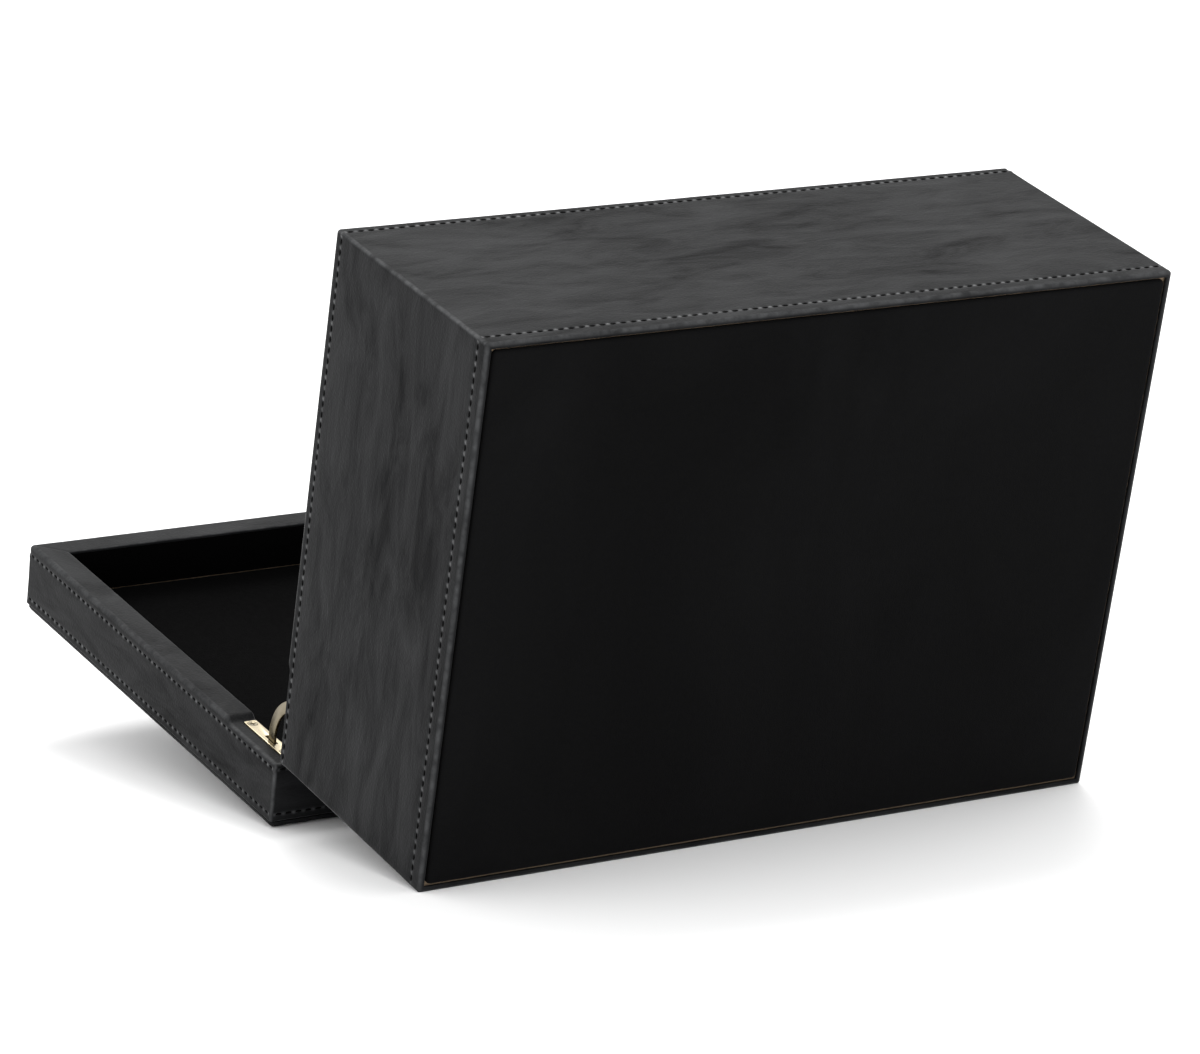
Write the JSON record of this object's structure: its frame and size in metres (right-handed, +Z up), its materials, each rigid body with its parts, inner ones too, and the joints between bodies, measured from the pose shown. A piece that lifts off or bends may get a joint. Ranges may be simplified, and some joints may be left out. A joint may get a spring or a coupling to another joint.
{
  "type": "jewelry box",
  "caption": "Rectangular box covered in stitched black leather, velvet lined inside and under the base, with a shallow lid on stopped brass quadrant hinges, shown open.",
  "frame": {"origin": "on the floor plane, under the middle of the open box's bounding box", "axes": "+Z up, +X across the box from its left side to its right side along the hinge axis, +Y from the box body towards the open lid's front edge"},
  "size_m": [0.3, 0.3826, 0.2384],
  "materials": {
    "body_leather": "matt grained black",
    "lid_leather": "matt grained black",
    "lid_top_leather": "matt grained black",
    "fibreboard": "raw fibreboard",
    "base_velvet": "short-pile black velvet",
    "foam": "soft grey foam",
    "ring_velvet": "short-pile black velvet",
    "divider_velvet": "short-pile black velvet",
    "lining_velvet": "short-pile black velvet",
    "screw_brass": "antique satin",
    "hinge_brass": "antique satin"
  },
  "bodies": {
    "box_body": {"body_leather_left": "body_leather", "body_leather_right": "body_leather", "body_leather_front": "body_leather", "body_leather_back": "body_leather", "body_board_left": "fibreboard", "body_board_right": "fibreboard", "body_board_front": "fibreboard", "body_board_back": "fibreboard", "body_bottom_board": "fibreboard", "base_pad": "base_velvet", "body_floor_pad": "lining_velvet", "body_lining_left": "lining_velvet", "body_lining_right": "lining_velvet", "body_lining_front": "lining_velvet", "body_lining_back": "lining_velvet", "divider_long": "divider_velvet", "divider_cross": "divider_velvet", "ring_bed": "foam", "ring_roll_1": "ring_velvet", "ring_roll_2": "ring_velvet", "ring_roll_3": "ring_velvet", "ring_roll_4": "ring_velvet", "ring_roll_5": "ring_velvet", "ring_roll_6": "ring_velvet", "hinge_leaf_body_left": "hinge_brass", "hinge_leaf_body_right": "hinge_brass", "hinge_pin_left": "hinge_brass", "hinge_pin_right": "hinge_brass", "screw_body_left_1": "screw_brass", "screw_body_left_2": "screw_brass", "screw_body_right_1": "screw_brass", "screw_body_right_2": "screw_brass"},
    "lid": {"lid_leather_left": "lid_leather", "lid_leather_right": "lid_leather", "lid_leather_front": "lid_leather", "lid_leather_back": "lid_leather", "lid_board_left": "fibreboard", "lid_board_right": "fibreboard", "lid_board_front": "fibreboard", "lid_board_back": "fibreboard", "lid_top_board": "fibreboard", "lid_top_foam": "foam", "lid_top_leather": "lid_top_leather", "lid_floor_pad": "lining_velvet", "lid_lining_left": "lining_velvet", "lid_lining_right": "lining_velvet", "lid_lining_front": "lining_velvet", "lid_lining_back": "lining_velvet", "hinge_leaf_lid_left": "hinge_brass", "hinge_leaf_lid_right": "hinge_brass", "screw_lid_left_1": "screw_brass", "screw_lid_left_2": "screw_brass", "screw_lid_right_1": "screw_brass", "screw_lid_right_2": "screw_brass"},
    "arm_left": {"hinge_arm_left": "hinge_brass"},
    "arm_right": {"hinge_arm_right": "hinge_brass"}
  },
  "joints": [
    {"name": "lid_hinge", "type": "hinge", "parent": "box_body", "child": "lid", "pos_m": [0, -0.02677, 0.02871], "axis": [1, 0, 0], "range_deg": [0, 91.8]},
    {"name": "arm_left_hinge", "type": "hinge", "parent": "box_body", "child": "arm_left", "pos_m": [0, -0.02677, 0.02871], "axis": [1, 0, 0], "range_deg": [0, 46]},
    {"name": "arm_right_hinge", "type": "hinge", "parent": "box_body", "child": "arm_right", "pos_m": [0, -0.02677, 0.02871], "axis": [1, 0, 0], "range_deg": [0, 46]}
  ],
  "couplings": [
    {"joint": "arm_left_hinge", "follows": "lid_hinge", "ratio": 0.5},
    {"joint": "arm_right_hinge", "follows": "lid_hinge", "ratio": 0.5}
  ]
}
